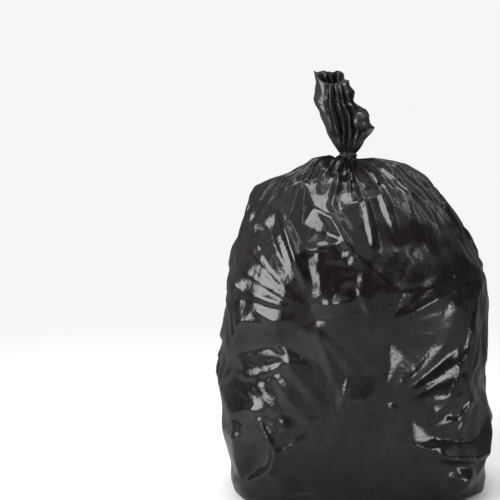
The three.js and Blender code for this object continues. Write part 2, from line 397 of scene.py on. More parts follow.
def facets(points, heights, edges, gridU, gridV, lift=None):
    # straight-edged facets through points of given heights, read on a grid
    made = delaunay_2d_cdt([Vector(q) for q in points], edges, [], 0, 1e-6)
    corners = np.array([list(q) for q in made[0]])
    level = np.array([np.mean([heights[k] for k in q]) if q else np.nan for q in made[3]])
    for k in np.flatnonzero(np.isnan(level)):  # where two fold lines cross
        near = np.argsort(((corners - corners[k]) ** 2).sum(1))[1:4]
        level[k] = np.nanmean(level[near])
    values = lift(corners, level) if lift else level[:, None]
    found = np.zeros((len(gridV), len(gridU), values.shape[1]))
    for tri in made[2]:
        p, q, r = corners[tri]
        i0, i1 = np.searchsorted(gridU, [min(p[0], q[0], r[0]), max(p[0], q[0], r[0])])
        j0, j1 = np.searchsorted(gridV, [min(p[1], q[1], r[1]), max(p[1], q[1], r[1])])
        if i0 >= i1 or j0 >= j1:
            continue
        x, y = gridU[None, i0:i1, None], gridV[j0:j1, None, None]
        area = (q[0] - p[0]) * (r[1] - p[1]) - (r[0] - p[0]) * (q[1] - p[1])
        a = ((q[0] - x) * (r[1] - y) - (r[0] - x) * (q[1] - y)) / area
        b = ((r[0] - x) * (p[1] - y) - (p[0] - x) * (r[1] - y)) / area
        inside = (a >= -1e-9) & (b >= -1e-9) & (a + b <= 1 + 1e-9)
        value = a * values[tri[0]] + b * values[tri[1]] + (1 - a - b) * values[tri[2]]
        found[j0:j1, i0:i1] = np.where(inside, value, found[j0:j1, i0:i1])
    return found if lift else found[..., 0]


def faceted(points, heights, edges, lift=None):
    # the same on the bag, whose points are (distance round, distance from the neck)
    points = points * [1, -1]
    return facets(points, heights, edges, roundShare * girth, -fromNeck, lift)


def liftOff(corners, level):
    # the place in space of each corner, at its height above the plain shape
    column = np.interp(corners[:, 0] / girth % 1, np.append(roundShare, 1), np.arange(cols + 1))
    row = np.interp(corners[:, 1], -fromNeck, np.arange(rows))
    i, j = column.astype(int), np.minimum(row.astype(int), rows - 2)
    fi, fj = (column - i)[:, None], (row - j)[:, None]
    i, i1 = i % cols, (i + 1) % cols
    spots = []
    for grid in (plain, plainNormal):
        low = grid[j, i] * (1 - fi) + grid[j, i1] * fi
        spots.append(low * (1 - fj) + (grid[j + 1, i] * (1 - fi) + grid[j + 1, i1] * fi) * fj)
    return spots[0] + spots[1] * level[:, None]


def scattered(size, rng, tall=1.0, slant=0.0):
    # uneven places all over the bag, with a random height from -1 to 1
    length = fromNeck[0]
    across = max(6, round(girth / size))
    up = max(4, round(length / size / tall))
    i, j = np.meshgrid(np.arange(across), np.arange(-1, up + 2), indexing="ij")
    u = (i + rng.uniform(-0.48, 0.48, i.shape) + 0.5 * (j % 2)) / across * girth
    v = (j + rng.uniform(-0.48, 0.48, i.shape)) / up * length
    return (u + slant * v).ravel() % girth, v.ravel(), rng.uniform(-1, 1, i.size)


def joinedRound(u, v, h, edges):
    # repeats what lies near the join on its other side, so that the facets meet there
    band = 0.25
    low, high = np.flatnonzero(u < band), np.flatnonzero(u > girth - band)
    points = np.stack([np.concatenate([u, u[low] + girth, u[high] - girth]),
                       np.concatenate([v, v[low], v[high]])], -1)
    return points, np.concatenate([h, h[low], h[high]]), edges


def crumpleRelief(size, depth, seed, tall=1.0, slant=0.0):
    rng = np.random.default_rng(seed)
    u, v, h = scattered(size, rng, tall, slant)
    return faceted(*joinedRound(u, v, h, [])) * np.minimum(depth, filmRelief["crumpleNeck"] * neckDistance)


def foldMoves(size, depth, seed):
    # how far the folds move each point, first from the round shape and then with flat faces between them;
    # the front's folds are set ones, and scattered ones fill the rest
    rng = np.random.default_rng(seed)
    rise = filmRelief["foldRise"]
    setU, setV, setH, edges = [], [], [], []
    for line in frontFolds:
        for k, (x, z, h) in enumerate(line):
            j, i = placeOn(x, z)
            if k:
                edges.append((len(setU) - 1, len(setU)))
            setU.append(roundShare[i] * girth)
            setV.append(fromNeck[j])
            setH.append(h * rise)
    u, v, h = scattered(size, rng)
    apart = np.hypot(u[:, None] - setU, v[:, None] - setV).min(1)
    keep = apart > filmRelief["foldsApart"]
    u = np.concatenate([setU, u[keep]])
    v = np.concatenate([setV, v[keep]])
    h = np.concatenate([setH, h[keep] * depth * rise])
    mesh = joinedRound(u, v, h, edges)
    rounded = plainNormal * (faceted(*mesh) * np.minimum(1, 16 * neckDistance))[..., None]
    return rounded, faceted(*mesh, liftOff) - plain


girth = math.pi * (halfWidth + halfDepth)
neckDistance = np.hypot(plain[..., 0] - neckX, plain[..., 1])

pleats = {
    "seed": 21,
    "count": 64,
    "shortest": 0.07,
    "longest": 0.36,
    "height": 0.015,
    "lowerRight": 0.65,  # how much lower they are to the right of the neck
    "hollow": 0.0035,  # how far the film between them sinks near the neck
}
# the front's own pleats: angle round the neck where each ends, length, height, width, and how far it
# drifts round on the way
frontPleats = [
    (-178, 0.30, 0.028, 0.020, 2),
    (-171, 0.30, 0.024, 0.011, 4),
    (-164, 0.36, 0.026, 0.012, 4),
    (-157, 0.30, 0.024, 0.011, -6),
    (-149, 0.30, 0.024, 0.012, -8),
    (-140, 0.20, 0.020, 0.011, -2),
    (-127, 0.22, 0.022, 0.015, 4),
    (-113, 0.18, 0.020, 0.014, 2),
    (-101, 0.26, 0.024, 0.014, 2),
    (-89, 0.20, 0.020, 0.013, 0),
    (-78, 0.34, 0.022, 0.014, 6),
    (-67, 0.28, 0.022, 0.014, 3),
    (-58, 0.22, 0.022, 0.012, -2),
    (-49, 0.34, 0.026, 0.015, -5),
    (-40, 0.32, 0.026, 0.015, -2),
    (-31, 0.28, 0.022, 0.013, 1),
    (-23, 0.36, 0.026, 0.016, 4),
    (-14, 0.32, 0.024, 0.014, 5),
]


def pleatRelief():
    # folds that run out from the neck down over the shoulders
    p = pleats
    rng = np.random.default_rng(p["seed"])
    dx = plain[..., 0] - neckX * smooth(0.5, neckZ - 0.01, plain[..., 2])
    around = np.arctan2(plain[..., 1], dx)
    r = np.hypot(dx, plain[..., 1])
    s = fromNeck[:, None]
    folds = list(frontPleats)
    for k in range(p["count"]):
        angle = -180 + 360 * (k + rng.uniform(-0.3, 0.3)) / p["count"]
        less = 0.5 if -178 < angle < -10 else 1  # shorter and lower between the front's own ones
        long = p["shortest"] + (p["longest"] - p["shortest"]) * rng.uniform(0, 1) ** 2.2 * less
        tall = p["height"] * rng.uniform(0.45, 1.1) * less
        folds.append((angle, long, tall, rng.uniform(0.008, 0.018), rng.uniform(-7, 7)))
    total = np.zeros((rows, cols))
    for angle, long, tall, wide, drift in folds:
        share = np.clip(s / long, 0, 1)
        path = math.radians(angle) - math.radians(drift) * (1 - share)
        away = wrapAngle(around - path) * r
        width = np.minimum(wide * (0.35 + 0.9 * share), 0.012 + r * 0.3)
        body = np.maximum(0, 1 - np.abs(away) / width) ** 1.3
        tallHere = np.minimum(tall, 0.22 * r) * (1 - share) ** 0.6
        total = np.maximum(total, tallHere * body)
    right = np.maximum(0, np.cos(around)) ** 2 * smooth(0.22, 0.06, s)
    return total * (1 - p["lowerRight"] * right) - p["hollow"] * smooth(0.3, 0.05, s)


# pinched places of the front: x, z, which way the creases run, spread, reach, how many, height, dent, seed
frontPinches = [
    (-0.098, 0.455, 140, 40, 0.29, 10, 0.0042, 0.006, 3),
    (0.079, 0.262, 38, 24, 0.24, 8, 0.0016, 0.006, 4),
    (0.060, 0.430, 44, 36, 0.22, 8, 0.0032, 0.000, 8),
    (-0.035, 0.240, 218, 40, 0.24, 6, 0.0024, 0.003, 9),
    (0.080, 0.245, 262, 34, 0.22, 5, 0.0018, 0.000, 10),
    (-0.098, 0.440, 300, 30, 0.30, 6, 0.0020, 0.000, 12),
    (-0.180, 0.090, 12, 30, 0.30, 5, 0.0018, 0.000, 13),
    (-0.128, 0.352, 186, 44, 0.17, 8, 0.0022, 0.003, 21),
    (-0.175, 0.225, 150, 60, 0.13, 7, 0.0022, 0.002, 22),
    (0.140, 0.115, 200, 50, 0.20, 6, 0.0016, 0.000, 24),
]
# pinched places round the sides and back: angle, height, which way the creases run, reach
sidePinches = [
    (14, 0.47, 128, 0.24),
    (-14, 0.26, 60, 0.20),
    (44, 0.31, 150, 0.24),
    (76, 0.52, 55, 0.26),
    (102, 0.27, 118, 0.24),
    (128, 0.50, 95, 0.26),
    (158, 0.32, 42, 0.24),
    (184, 0.49, 128, 0.22),
    (192, 0.22, 84, 0.14),
]
sidePinch = {"spread": 50, "creases": 9, "height": 0.0085, "dent": 0.014, "seed": 60}  # for all of them
# where the film lies smooth over the rubbish: x, z, half width, half height, how calm
calmPlaces = [
    (0.030, 0.340, 0.17, 0.13, 0.65),
    (0.020, 0.130, 0.20, 0.13, 0.30),
    (0.150, 0.600, 0.13, 0.09, 0.75),
    (-0.035, 0.465, 0.07, 0.03, 0.50),
    (-0.172, 0.480, 0.09, 0.09, 0.80),
    (0.155, 0.320, 0.10, 0.08, 0.80),
    (0.180, 0.440, 0.11, 0.08, 0.95),
    (-0.200, 0.270, 0.12, 0.11, 0.75),
    (0.025, 0.252, 0.07, 0.03, 0.50),
]
# fine upright creases where the shoulder turns into the full front
feather = {
    "x": 0.12,
    "z": 0.51,
    "halfWidth": 0.22,
    "halfHeight": 0.12,
    "size": 0.016,
    "depth": 0.0034,
    "longer": 6,
    "seed": 51,
}


def calmShare():
    # how smooth the film lies at each point, from 0 to 1
    calm = np.zeros((rows, cols))
    for x, z, wide, tall, share in calmPlaces:
        a, b, facing = localPlane(placeOn(x, z))
        calm = np.maximum(calm, share * smooth(1.1, 0.6, np.hypot(a / wide, b / tall)) * (facing > 0.3))
    return calm


def featherRelief():
    f = feather
    a, b, facing = localPlane(placeOn(f["x"], f["z"]))
    near = smooth(1.1, 0.4, np.hypot(a / f["halfWidth"], b / f["halfHeight"])) * (facing > 0.3)
    return crumpleRelief(f["size"], f["depth"], f["seed"], f["longer"]) * near


def rounded(h, times):
    # takes the hardest edge off the folds
    for _ in range(times):
        h = 0.25 * (np.roll(h, 1, 1) + np.roll(h, -1, 1)) + 0.5 * h
        h[1:-1] = 0.25 * (h[2:] + h[:-2]) + 0.5 * h[1:-1]
    return h


calm = calmShare()
onRound, onFlat = foldMoves(filmRelief["facetSize"], filmRelief["facetDepth"], filmRelief["facetSeed"])
# the faces aren't flat beside the neck, at the base or in the calm places
flatness = filmRelief["flatness"] * smooth(0.04, 0.14, fromNeck)[:, None]
flatness = flatness * smooth(0.02, 0.08, plain[..., 2]) * (1 - calm)
move = onRound + (onFlat - onRound) * flatness[..., None]
print("folds")
pull = softNoise(rows, cols, 7, 10, filmRelief["pullSeed"])
high = smooth(0.52, 0.36, fromNeck)[:, None]
relief = np.zeros((rows, cols))
for k, (size, depth, tall, slant) in enumerate(filmRelief["crumples"]):
    if slant:
        share = smooth(-0.25, 0.35, pull * np.sign(slant)) * (1 - high)
    else:
        share = high if tall > 1 else 1
    relief += crumpleRelief(size, depth, filmRelief["crumpleSeed"] + k, tall, slant) * share * (1 - calm)
print("crumples")
move += plainNormal * relief[..., None]
move = rounded(move, filmRelief["edgePasses"])
move += (rounded(move, filmRelief["calmPasses"]) - move) * (0.9 * calm)[..., None]
creases = np.zeros((rows, cols))
for x, z, toward, spread, reach, many, height, dent, seed in frontPinches:
    creases += fan(placeOn(x, z), toward, spread, reach, many, height, dent, seed)
for values in crestLines:
    creases += crease(*values)
for values in shelves:
    creases += shelf(*values)
for k, (angle, z, toward, reach) in enumerate(sidePinches):
    creases += fan(placeRound(angle, z), toward, sidePinch["spread"], reach, sidePinch["creases"],
                   sidePinch["height"], sidePinch["dent"], sidePinch["seed"] + k)
creases += featherRelief() + pleatRelief()
move += plainNormal * rounded(creases, filmRelief["edgePasses"])[..., None]
print("creases and pleats")

body = plain + move
body[..., 2] = np.maximum(body[..., 2], 0)  # nothing goes below the floor, and the base lies flat on it
flatBase = smooth(0.24, 0.20, np.linalg.norm(plain[..., :2], axis=-1)) * (plain[..., 2] < 0.05)
body[..., 2] *= 1 - flatBase

# the mouth above the neck: a loose bundle of folds that leans to the left
mouth = {
    # how far the bundle reaches to each side at some heights above the neck, and the small bulges on that
    "left": [(0, -0.039), (0.024, -0.055), (0.05, -0.069), (0.09, -0.088), (0.13, -0.096), (0.201, -0.097)],
    "right": [(0, 0.001), (0.02, 0.014), (0.05, 0.026), (0.09, 0.026), (0.13, 0.008), (0.201, -0.012)],
    "leftBulge": [(0.10, 0.0), (0.115, -0.004), (0.128, -0.005), (0.145, 0.001), (0.17, 0.002),
                  (0.196, -0.002)],
    "rightBulge": [(0.02, 0.0), (0.034, 0.0), (0.05, 0.010), (0.062, 0.020), (0.072, 0.004), (0.080, 0.006),
                   (0.096, 0.014), (0.11, 0.015), (0.122, 0.006), (0.133, -0.008), (0.148, 0.001),
                   (0.165, 0.010), (0.175, 0.008), (0.182, -0.003), (0.201, 0.0)],
    # each deep fold: its angle at the neck and at the edge, where -90 is the front and 180 the left, then
    # its depth and half width
    "folds": [
        (-146, -101, 0.30, 9),
        (-122, -84, 0.52, 12),
        (-98, -68, 0.40, 10),
        (-74, -50, 0.52, 12),
        (-50, -28, 0.34, 12),
        (-20, -8, 0.26, 12),
        (10, 8, 0.34, 14),
        (38, 34, 0.5, 16),
        (66, 66, 0.4, 15),
        (98, 98, 0.5, 16),
        (128, 128, 0.4, 15),
        (158, 160, 0.3, 12),
    ],
    # a round lobe on the right: its middle and its radius
    "lobe": (0.008, -0.016, 0.874),
    "lobeRadius": 0.025,
    "frontDip": 0.030,  # how much lower the film's edge is at the front
    "rightDip": 0.020,
    "ragged": 0.004,  # how uneven that edge is
    "wall": 0.0022,
    "crumple": 0.0036,
    "crumpleRound": 0.34,  # about how far it is round the mouth, and up it
    "crumpleUp": 0.2,
    "innerRows": 14,
    "seed": 11,
}
# the tightest part, which the tie goes round
neck = {
    # height above its middle and radius
    "rings": [(-0.0065, 0.0206), (-0.003, 0.0200), (0.0, 0.0199), (0.003, 0.0200), (0.006, 0.0202)],
    "foldDepth": 0.0016,
    "folds": 13,  # in each half
}


def mouthRing(share, inset, folded, ragged):
    # the mouth's outline at a share of its height, set in by the thickness of its wall;
    # it starts 4 mm above the neck's middle and ends 4 mm under the top
    m = mouth
    h = share * (topZ - neckZ - 0.008)
    left = np.interp(h, *zip(*m["left"]))
    right = np.interp(h, *zip(*m["right"]))
    middle = (left + right) / 2
    wide = (right - left) / 2
    deep = wide * (1.0 - 0.22 * share)
    angle = roundShare * 2 * math.pi
    c = np.cos(angle)
    x = middle + np.maximum(wide * folded - inset, 0.0015) * c
    x = x + np.interp(h, *zip(*m["leftBulge"])) * np.maximum(0, -c) ** 5
    x = x + np.interp(h, *zip(*m["rightBulge"])) * np.maximum(0, c) ** 5
    y = np.maximum(deep * folded - inset, 0.0015) * np.sin(angle)
    z = neckZ + 0.004 + h - ragged * smooth(0.35, 1, np.array(share))
    return np.stack([x, y, z], -1)


def makeMouth():
    m = mouth
    n = bagShape["mouthRows"]
    shares = (np.arange(n) + 1) / n
    degrees = roundShare * 360
    drift = softNoise(n, cols, 1, 5, m["seed"])
    change = softNoise(n, cols, 2, 23, m["seed"] + 1)
    front = np.cos(np.radians(degrees + 90))
    right = np.cos(np.radians(degrees - 10))
    ragged = m["frontDip"] * smooth(0.1, 1, front) + m["rightDip"] * smooth(0.55, 1, right)
    ragged = ragged + m["ragged"] * (0.5 + 0.5 * softNoise(2, cols, 1, 19, m["seed"] + 2)[0])
    outer, inner = [], []
    for k, share in enumerate(shares):
        at = degrees + 8 * drift[k] * smooth(0, 0.6, share)
        folded = np.ones(cols)
        opened = 0.55 + 0.45 * smooth(0.05, 0.35, share) - 0.25 * smooth(0.75, 1, share)
        for low, top, depth, half in m["folds"]:
            off = np.abs((at - (low + (top - low) * share) + 180) % 360 - 180) / half
            folded -= depth * opened * (1 + 0.3 * change[k]) * np.maximum(0, 1 - off) ** 0.9
        folded = np.maximum(folded, 0.25)
        outer.append(mouthRing(share, 0, folded, ragged))
        inner.append(mouthRing(share, m["wall"], folded, ragged))
    outer, inner = np.array(outer), np.array(inner)
    out = gridNormals(outer)
    h = np.zeros((n, cols))
    for size, depth in ((0.040, m["crumple"]), (0.020, m["crumple"] * 0.4)):
        across, up = round(m["crumpleRound"] / size), round(m["crumpleUp"] / size)
        h += facetedPatch(n, across, up, m["seed"] + round(size * 1000)) * depth
    h *= smooth(0, 0.2, shares)[:, None]
    edge = smooth(1.0, 0.9, shares)[:, None] * 0.6 + 0.4
    move = out * (h * edge)[..., None]
    keep = np.unique(np.linspace(0, n - 1, m["innerRows"]).round().astype(int))
    return lobed(outer + move, m["lobeRadius"]), lobed(inner + move, m["lobeRadius"] - m["wall"])[keep]


def lobed(points, radius):
    # fills the film out to a ball where it is nearer to the lobe's middle than the ball's radius
    off = points - np.array(mouth["lobe"])
    far = np.linalg.norm(off, axis=-1, keepdims=True)
    return np.where(far < radius, points + off / (far + 1e-9) * (radius - far), points)


def facetedPatch(n, across, up, seed):
    # a ring of straight-edged facets of random height, from -1 to 1
    rng = np.random.default_rng(seed)
    i, j = np.meshgrid(np.arange(across), np.arange(-1, up + 2), indexing="ij")
    u = ((i + rng.uniform(-0.45, 0.45, i.shape) + 0.5 * (j % 2)) / across % 1).ravel()
    v = ((j + rng.uniform(-0.45, 0.45, i.shape)) / up).ravel()
    h = rng.uniform(-1, 1, u.size)
    near, far = np.flatnonzero(u < 0.3), np.flatnonzero(u > 0.7)
    points = np.stack([np.concatenate([u, u[near] + 1, u[far] - 1]),
                       np.concatenate([v, v[near], v[far]])], -1)
    heights = np.concatenate([h, h[near], h[far]])
    return facets(points, heights, [], roundShare, np.linspace(0, 1, n))


def neckRings():
    angle = roundShare * 2 * math.pi
    rings = []
    for dz, r in neck["rings"]:
        folded = r - neck["foldDepth"] * np.abs(np.sin(neck["folds"] * angle + 0.6 * np.sin(3 * angle)))
        z = np.full(cols, neckZ + dz)
        rings.append(np.stack([neckX + folded * np.cos(angle), folded * np.sin(angle), z], -1))
    return np.array(rings)


mouthOut, mouthIn = makeMouth()
print("mouth")


def closedSkin(rings, name):
    # joins rings of points into one closed skin, with a fan at each end
    stack = np.concatenate(rings, 0)
    n, c = stack.shape[:2]
    low = stack[0].mean(0)
    high = stack[-1].mean(0)
    points = np.concatenate([stack.reshape(-1, 3), [low, high]])
    j, i = np.meshgrid(np.arange(n - 1), np.arange(c), indexing="ij")
    i1 = (i + 1) % c
    quads = np.stack([j * c + i, j * c + i1, (j + 1) * c + i1, (j + 1) * c + i], -1).reshape(-1, 4)
    i = np.arange(c)
    i1 = (i + 1) % c
    base = np.stack([i1, i, np.full(c, n * c)], -1)
    end = np.stack([(n - 1) * c + i, (n - 1) * c + i1, np.full(c, n * c + 1)], -1)
    mesh = bpy.data.meshes.new(name)
    mesh.from_pydata(points.tolist(), [], quads.tolist() + base.tolist() + end.tolist())
    mesh.update()
    mesh.shade_smooth()
    piece = bpy.data.objects.new(name, mesh)
    bpy.context.scene.collection.objects.link(piece)
    return piece


bag = closedSkin([body, neckRings(), mouthOut, mouthIn[::-1]], "filled_bag")
print("bag", len(bag.data.polygons), "faces")


class Wire:
    # one node socket that sums, differences and products can be written with
    def __init__(self, tree, socket):
        self.tree = tree
        self.socket = socket

    def join(self, operation, first, second=None):
        node = self.tree.nodes.new("ShaderNodeMath")
        node.operation = operation
        for socket, value in zip(node.inputs, (first, second)):
            if isinstance(value, Wire):
                self.tree.links.new(value.socket, socket)
            elif value is not None:
                socket.default_value = value
        return Wire(self.tree, node.outputs[0])

    def __add__(self, other):
        return self.join("ADD", self, other)

    def __radd__(self, other):
        return self.join("ADD", other, self)

    def __sub__(self, other):
        return self.join("SUBTRACT", self, other)

    def __rsub__(self, other):
        return self.join("SUBTRACT", other, self)

    def __mul__(self, other):
        return self.join("MULTIPLY", self, other)

    def __rmul__(self, other):
        return self.join("MULTIPLY", other, self)


class NodeWriter:
    # adds nodes to one tree; a shader node's name leaves out its first word, ShaderNode
    def __init__(self, tree):
        self.tree = tree

    def node(self, kind, settings=None, inputs=None, output=0):
        made = self.tree.nodes.new(kind if kind.startswith("GeometryNode") else "ShaderNode" + kind)
        settings = dict(settings or {})
        for k, (place, colour) in enumerate(settings.pop("stops", [])):
            ramp = made.color_ramp.elements
            stop = ramp[k] if k < 2 else ramp.new(place)
            stop.position = place
            stop.color = colour
        for key, value in settings.items():
            setattr(made, key, value)
        for key, value in (inputs or {}).items():
            for one in value if isinstance(value, list) else [value]:
                self.plug(made.inputs[key], one)
        return Wire(self.tree, made.outputs[output])

    def plug(self, socket, value):
        if isinstance(value, Wire):
            self.tree.links.new(value.socket, socket)
        else:
            socket.default_value = value

    def risen(self, value, near, far):
        # 0 where the value is near, 1 where it is far, and smooth between
        return self.node("MapRange", {"interpolation_type": "SMOOTHSTEP"},
                         {"Value": value, "From Min": near, "From Max": far})

    def blend(self, share, first, second):
        # from the first colour to the second
        return self.node("Mix", {"data_type": "RGBA"}, {0: share, 6: first, 7: second}, 2)


class Finish(NodeWriter):
    # a new material and its nodes
    def __init__(self, name):
        self.material = bpy.data.materials.new(name)
        self.material.use_nodes = True
        super().__init__(self.material.node_tree)
        self.shader = self.tree.nodes["Principled BSDF"]

    def surface(self, **values):
        for key, value in values.items():
            self.plug(self.shader.inputs[key.replace("_", " ")], value)


filmFinish = {
    "colour": (0.0052, 0.0038, 0.0036, 1),
    # painted shading: this paler colour marks dust, and along the upright streaks it also stands in for the
    # soft light and dark shading of the crinkled film
    "dustAndStreakShading": (0.0150, 0.0125, 0.0120, 1),
    "gloss": 0.12,  # roughness of clean film
    "dull": 0.22,  # roughness where it is stretched or scuffed
    # painted light: above the tie the base colour is paler, standing in for light that shows through one
    # loose layer of film
    "thinPaintedGlow": (0.024, 0.020, 0.019, 1),  # one loose layer lets some light through, above the tie
    "thinFull": 0.03,  # how far above the tie that is reached
    "thinDull": 0.10,  # how much rougher it is there
    "crinkle": 0.40,
    "crinkleDepth": 0.004,
    "broadScale": 5.0,  # patches of duller film
    "streakScale": 38.0,  # upright stretch marks
    "streakLength": 0.35,  # how much they are drawn out upright, where less is longer
    "cellScale": 30.0,  # crinkles, large and small
    "smallScale": 75.0,
    "dustScale": 160.0,
    "dustAndShadingFrom": 0.42,
    "dustAndShadingFull": 0.68,
    "refraction": 1.43,
}


def filmMaterial():
    f = Finish("black_film")
    v = filmFinish
    place = f.node("TexCoord", output=3)
    edges = {"feature": "DISTANCE_TO_EDGE"}
    broad = f.node("TexNoise", {}, {"Vector": place, "Scale": v["broadScale"], "Detail": 3.0})
    long = f.node("Mapping", {}, {"Vector": place, "Scale": (1, 1, v["streakLength"])})
    streak = f.node("TexNoise", {},
                    {"Vector": long, "Scale": v["streakScale"], "Detail": 4.0, "Roughness": 0.6})
    cells = f.node("TexVoronoi", edges, {"Vector": long, "Scale": v["cellScale"]})
    small = f.node("TexVoronoi", edges, {"Vector": place, "Scale": v["smallScale"]})
    dust = f.node("TexNoise", {}, {"Vector": place, "Scale": v["dustScale"], "Detail": 5.0, "Roughness": 0.7})
    # painted shading: the mask mixes fine dust with the upright streaks and broad patches, so the paler
    # colour follows the streaks the way shading would
    stops = [(v["dustAndShadingFrom"], (0, 0, 0, 1)), (v["dustAndShadingFull"], (1, 1, 1, 1))]
    dustAndStreakShadingMask = f.node("ValToRGB", {"stops": stops}, {"Fac": dust * 0.15 + streak * 0.5 + broad * 0.35})
    up = f.node("SeparateXYZ", {}, {"Vector": place}, 2)
    above = f.risen(up, neckZ, neckZ + v["thinFull"])
    # painted light: the paler colour blended in above the tie stands in for light showing through the single
    # layer
    colour = f.blend(above * 0.8, f.blend(dustAndStreakShadingMask, v["colour"], v["dustAndStreakShading"]), v["thinPaintedGlow"])
    height = cells * 0.6 + small * 0.22 + streak * 0.5
    bump = f.node("Bump", {}, {"Height": height, "Strength": v["crinkle"], "Distance": v["crinkleDepth"]})
    rough = v["gloss"] + (v["dull"] - v["gloss"]) * broad + v["thinDull"] * above
    f.surface(Base_Color=colour, Roughness=rough, Normal=bump, IOR=v["refraction"])
    return f.material


bag.data.materials.append(filmMaterial())

# the twist tie: a flat strip wound round the neck, its ends twisted together at the back
tieStrip = {
    "loopRadius": 0.0213,
    "stripWidth": 0.0042,
    "stripThickness": 0.0011,
    "tailLength": 0.0170,
    "tailRise": 0.12,  # how far the tail climbs for its length
    "tailTurns": 2.0,
    "endLength": 0.0085,
    "endAside": 0.62,  # how far each loose end goes to its side, back and up for its length
    "endBack": 0.78,
    "endUp": 0.16,
}
tieFinish = {
    "colour": (0.006, 0.0055, 0.005, 1),
    "worn": (0.016, 0.015, 0.015, 1),
    "wearScale": 420.0,
    "grainScale": 1500.0,
    "gloss": 0.40,  # roughness of the clean strip
    "wornDull": 0.20,  # how much rougher it is where it is worn
    "bump": 0.15,
}


def tieTree():
    tree = bpy.data.node_groups.new("twist_tie", "GeometryNodeTree")
    sockets = {}
    tree.interface.new_socket("Geometry", in_out="OUTPUT", socket_type="NodeSocketGeometry")
    kinds = dict.fromkeys(tieStrip, "NodeSocketFloat")
    kinds["finish"] = "NodeSocketMaterial"
    for name, kind in kinds.items():
        sockets[name] = tree.interface.new_socket(name, in_out="INPUT", socket_type=kind).identifier
    start = tree.nodes.new("NodeGroupInput")
    given = {name: Wire(tree, start.outputs[name]) for name in sockets}
    w = NodeWriter(tree)
    radius, wide, thick = given["loopRadius"], given["stripWidth"], given["stripThickness"]
    strip = w.node("GeometryNodeCurvePrimitiveQuadrilateral", {}, {"Width": thick, "Height": wide})
    loop = w.node("GeometryNodeCurvePrimitiveCircle", {}, {"Resolution": 72, "Radius": radius})
    band = w.node("GeometryNodeCurveToMesh", {}, {"Curve": loop, "Profile Curve": strip})
    # the tail: two strips side by side, turned about their own length
    sides = []
    for side in (-0.55, 0.55):
        offset = w.node("CombineXYZ", {}, {"X": thick * side})
        sides.append(w.node("GeometryNodeTransform", {}, {"Geometry": strip, "Translation": offset}))
    pair = w.node("GeometryNodeJoinGeometry", {}, {"Geometry": sides})
    back = w.node("CombineXYZ", {}, {"Y": radius + thick * 0.3})
    tipY = radius + given["tailLength"]
    tipZ = given["tailLength"] * given["tailRise"]
    tip = w.node("CombineXYZ", {}, {"Y": tipY, "Z": tipZ})
    line = w.node("GeometryNodeCurvePrimitiveLine", {}, {"Start": back, "End": tip})
    fine = w.node("GeometryNodeResampleCurve", {}, {"Curve": line, "Count": 40})
    share = w.node("GeometryNodeSplineParameter", {}, {}, "Factor")
    turned = w.node("GeometryNodeSetCurveTilt", {},
                    {"Curve": fine, "Tilt": share * given["tailTurns"] * (2 * math.pi)})
    tail = w.node("GeometryNodeCurveToMesh", {}, {"Curve": turned, "Profile Curve": pair, "Fill Caps": True})
    # the two loose ends, which start just inside the tail
    root = w.node("CombineXYZ", {}, {"Y": tipY - 0.0012, "Z": tipZ})
    length = given["endLength"]
    ends = []
    for side in (-1, 1):
        out = w.node("CombineXYZ", {},
                     {"X": length * given["endAside"] * side, "Y": tipY + length * given["endBack"],
                      "Z": tipZ + length * given["endUp"] * side})
        stub = w.node("GeometryNodeCurvePrimitiveLine", {}, {"Start": root, "End": out})
        ends.append(w.node("GeometryNodeCurveToMesh", {},
                           {"Curve": stub, "Profile Curve": strip, "Fill Caps": True}))
    whole = w.node("GeometryNodeJoinGeometry", {}, {"Geometry": [band, tail, *ends]})
    real = w.node("GeometryNodeRealizeInstances", {}, {"Geometry": whole})
    done = w.node("GeometryNodeSetMaterial", {}, {"Geometry": real, "Material": given["finish"]})
    end = tree.nodes.new("NodeGroupOutput")
    tree.links.new(done.socket, end.inputs[0])
    return tree, sockets


def tieMaterial():
    f = Finish("black_tie_plastic")
    v = tieFinish
    place = f.node("TexCoord", output=3)
    wear = f.node("TexNoise", {}, {"Vector": place, "Scale": v["wearScale"], "Detail": 3.0})
    grain = f.node("TexNoise", {}, {"Vector": place, "Scale": v["grainScale"], "Detail": 2.0})
    colour = f.blend(wear, v["colour"], v["worn"])
    bump = f.node("Bump", {}, {"Height": grain + wear * 0.5, "Strength": v["bump"], "Distance": 0.0004})
    f.surface(Base_Color=colour, Roughness=v["gloss"] + v["wornDull"] * wear, Normal=bump)
    return f.material


def makeTie():
    tree, sockets = tieTree()
    holder = bpy.data.objects.new("tie_holder", bpy.data.meshes.new("tie_holder"))
    bpy.context.scene.collection.objects.link(holder)
    modifier = holder.modifiers.new("tie", "NODES")
    modifier.node_group = tree
    for name, value in tieStrip.items():
        modifier[sockets[name]] = value
    modifier[sockets["finish"]] = tieMaterial()
    ready = holder.evaluated_get(bpy.context.evaluated_depsgraph_get())
    mesh = bpy.data.meshes.new_from_object(ready)
    bpy.data.objects.remove(holder)
    mesh.transform(Matrix.Translation((neckX, 0, neckZ)))
    mesh.name = "twist_tie"
    piece = bpy.data.objects.new("twist_tie", mesh)
    bpy.context.scene.collection.objects.link(piece)
    work = bmesh.new()
    work.from_mesh(mesh)
    bmesh.ops.recalc_face_normals(work, faces=work.faces)
    work.to_mesh(mesh)
    work.free()
    return piece


tie = makeTie()
print("tie", len(tie.data.polygons), "faces")

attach(tie, "root")
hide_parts("neck_tie")
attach(bag, "root")
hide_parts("bag")
print("pieces declared")

